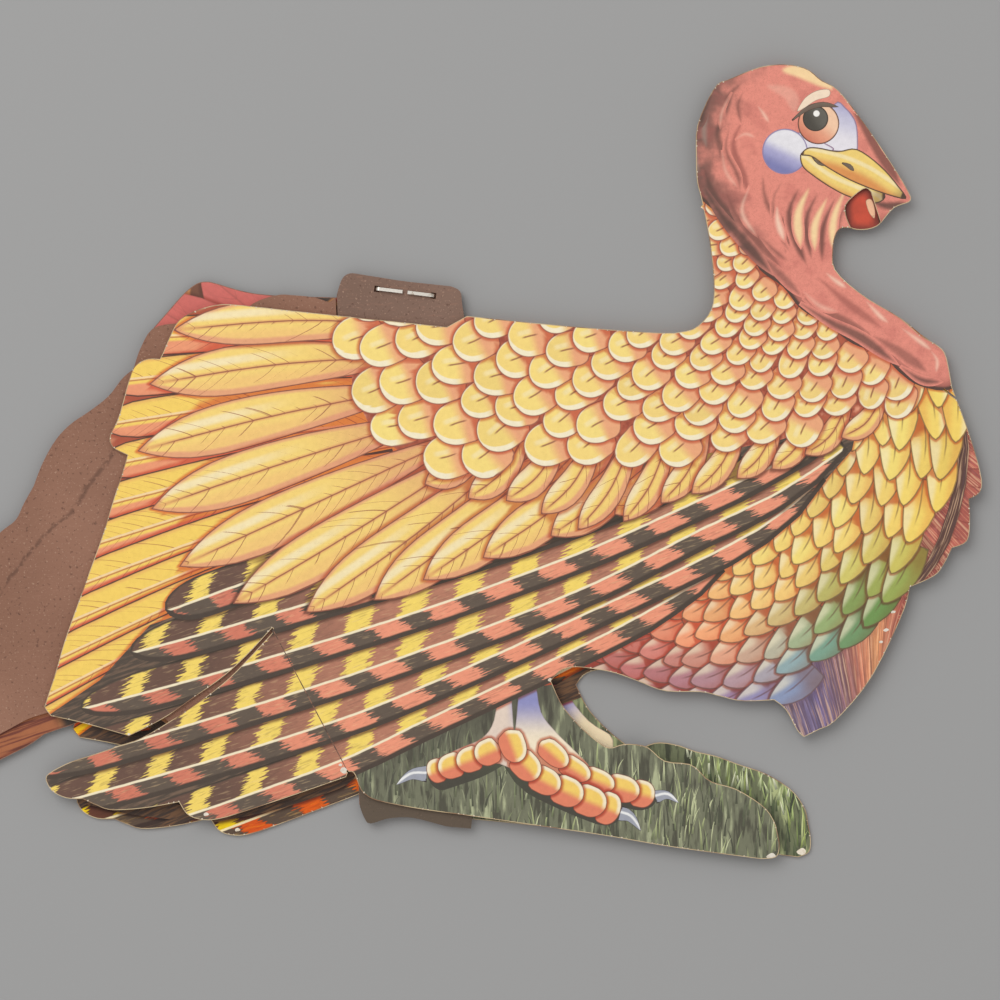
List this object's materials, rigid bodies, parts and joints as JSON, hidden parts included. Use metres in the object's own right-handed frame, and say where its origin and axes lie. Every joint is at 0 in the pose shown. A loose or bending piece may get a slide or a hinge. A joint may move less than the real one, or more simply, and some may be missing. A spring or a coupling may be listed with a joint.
{
  "type": "folding card turkey centrepiece",
  "caption": "Printed card turkey that folds flat: body cards joined at the head, scored wing flaps and a stapled tail fan that slides, opens and lies between them.",
  "frame": {"origin": "on the underside of the far body card, which the folded piece lies on, near the middle of the body", "axes": "+X from the tail to the beak, +Y from the grass to the head, +Z out of the near body card's print"},
  "size_m": [0.2272, 0.1696, 0.0033],
  "materials": {
    "near_print_card": "satin",
    "head_print_card": "satin",
    "far_print_card": "satin",
    "snood_card": "satin",
    "fan_print_card": "satin",
    "chipboard": "matte",
    "staple_steel": "satin"
  },
  "bodies": {
    "far_side": {"far_body_card": "far_print_card", "head_glue_pad": "chipboard", "snood": "snood_card", "near_head_card": "head_print_card"},
    "far_flap": {"far_wing_flap": "far_print_card"},
    "near_side": {"near_body_card": "near_print_card"},
    "near_flap": {"near_wing_flap": "near_print_card"},
    "fan": {"far_fan_half": "fan_print_card", "near_fan_flange": "chipboard", "fan_staple": "staple_steel"},
    "near_fan": {"near_fan_half": "chipboard"}
  },
  "joints": [
    {"name": "near_side_lift", "type": "hinge", "parent": "far_side", "child": "near_side", "pos_m": [0.0427, 0.06298, 0.0033], "axis": [-0.798, 0.6026, 0], "range_deg": [0, 50]},
    {"name": "near_flap_fold", "type": "hinge", "parent": "near_side", "child": "near_flap", "pos_m": [-0.04868, -0.02733, 0.0033], "axis": [-0.4668, 0.8844, 0], "range_deg": [0, 75]},
    {"name": "far_flap_fold", "type": "hinge", "parent": "far_side", "child": "far_flap", "pos_m": [-0.04365, -0.03045, 0], "axis": [0.4982, -0.867, 0], "range_deg": [0, 75]},
    {"name": "fan_slide", "type": "slide", "parent": "far_side", "child": "fan", "axis": [-1, 0, 0], "range_m": [0, 0.1]},
    {"name": "near_fan_open", "type": "hinge", "parent": "fan", "child": "near_fan", "pos_m": [-0.03501, 0.04334, 0.0024], "axis": [-0.0452, 0.999, 0], "range_deg": [0, 67.5]}
  ],
  "couplings": [
    {"joint": "near_fan_open", "follows": "near_side_lift", "ratio": 1.35}
  ]
}
